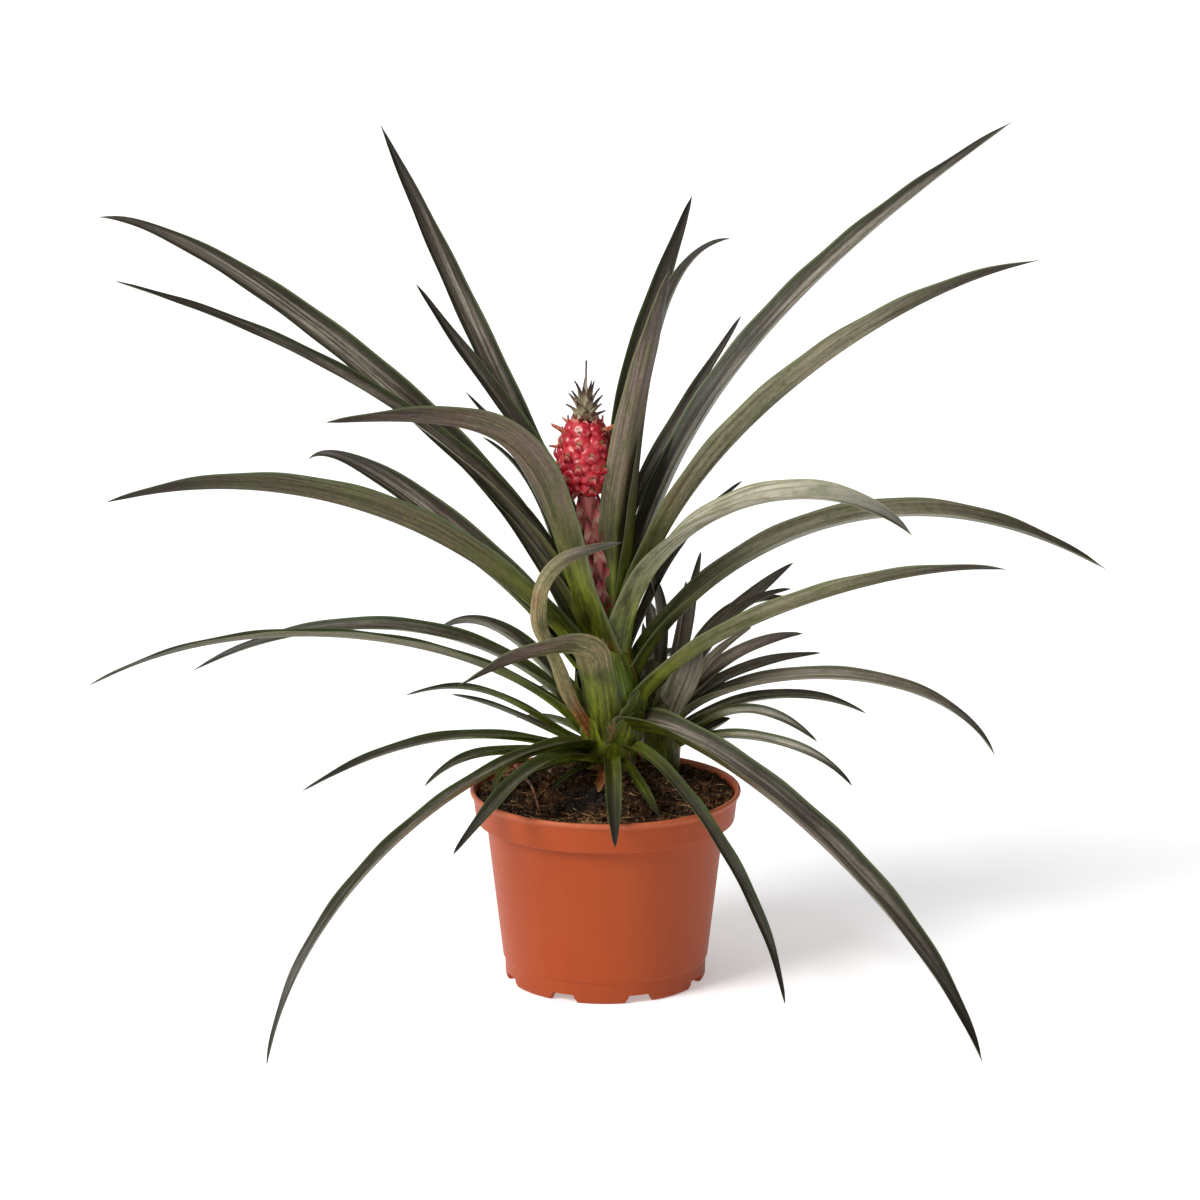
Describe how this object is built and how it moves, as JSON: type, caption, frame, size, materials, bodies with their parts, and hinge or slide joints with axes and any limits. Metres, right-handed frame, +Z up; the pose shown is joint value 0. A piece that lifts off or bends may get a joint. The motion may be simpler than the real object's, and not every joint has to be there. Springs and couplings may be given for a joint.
{
  "type": "potted pineapple plant",
  "caption": "Ornamental pineapple plant with arching sword leaves, a small red fruit on a stalk and a side offshoot, growing in soil in a round terracotta-coloured plastic nursery pot.",
  "frame": {"origin": "middle of the pot's foot, on the surface that the pot stands on", "axes": "+Z up along the pot's axis; -Y towards the viewer of the plant's front, +X to that viewer's right"},
  "size_m": [0.5567, 0.3201, 0.4644],
  "materials": {
    "pot": "satin",
    "soil": "matte",
    "stem": "satin",
    "stalk": "satin",
    "fruit": "satin",
    "crown": "satin",
    "offshoot": "satin",
    "leaf": "satin",
    "withered_leaf": "matte"
  },
  "bodies": {
    "root": {"pot": "pot", "soil": "soil", "main_stem": "stem", "fruit_stalk": "stalk", "fruit": "fruit", "crown": "crown", "offshoot": "offshoot", "leaf_left_01": "leaf", "leaf_left_02": "leaf", "leaf_left_03": "leaf", "leaf_left_04": "leaf", "leaf_left_05": "leaf", "leaf_left_06": "leaf", "leaf_left_07": "leaf", "leaf_left_08": "leaf", "leaf_left_09": "leaf", "leaf_left_10": "leaf", "leaf_left_11": "leaf", "leaf_left_12": "leaf", "leaf_left_13": "leaf", "leaf_left_14": "leaf", "leaf_left_15": "leaf", "leaf_left_16": "leaf", "leaf_left_17": "leaf", "leaf_left_18": "leaf", "leaf_right_01": "leaf", "leaf_right_02": "leaf", "leaf_right_03": "leaf", "leaf_right_04": "leaf", "leaf_right_05": "leaf", "leaf_right_06": "leaf", "leaf_right_07": "leaf", "leaf_right_08": "leaf", "leaf_right_09": "leaf", "leaf_front_01": "leaf", "leaf_front_02": "leaf", "leaf_front_03": "leaf", "leaf_front_04": "leaf", "leaf_front_05": "leaf", "leaf_front_06": "leaf", "leaf_front_07": "leaf", "leaf_front_08": "leaf", "leaf_front_09": "leaf", "leaf_front_10": "leaf", "leaf_front_11": "withered_leaf", "leaf_front_12": "withered_leaf", "leaf_back_01": "leaf", "leaf_back_02": "leaf", "leaf_back_03": "leaf", "leaf_back_04": "leaf", "leaf_back_05": "leaf", "leaf_back_06": "leaf"}
  },
  "joints": []
}
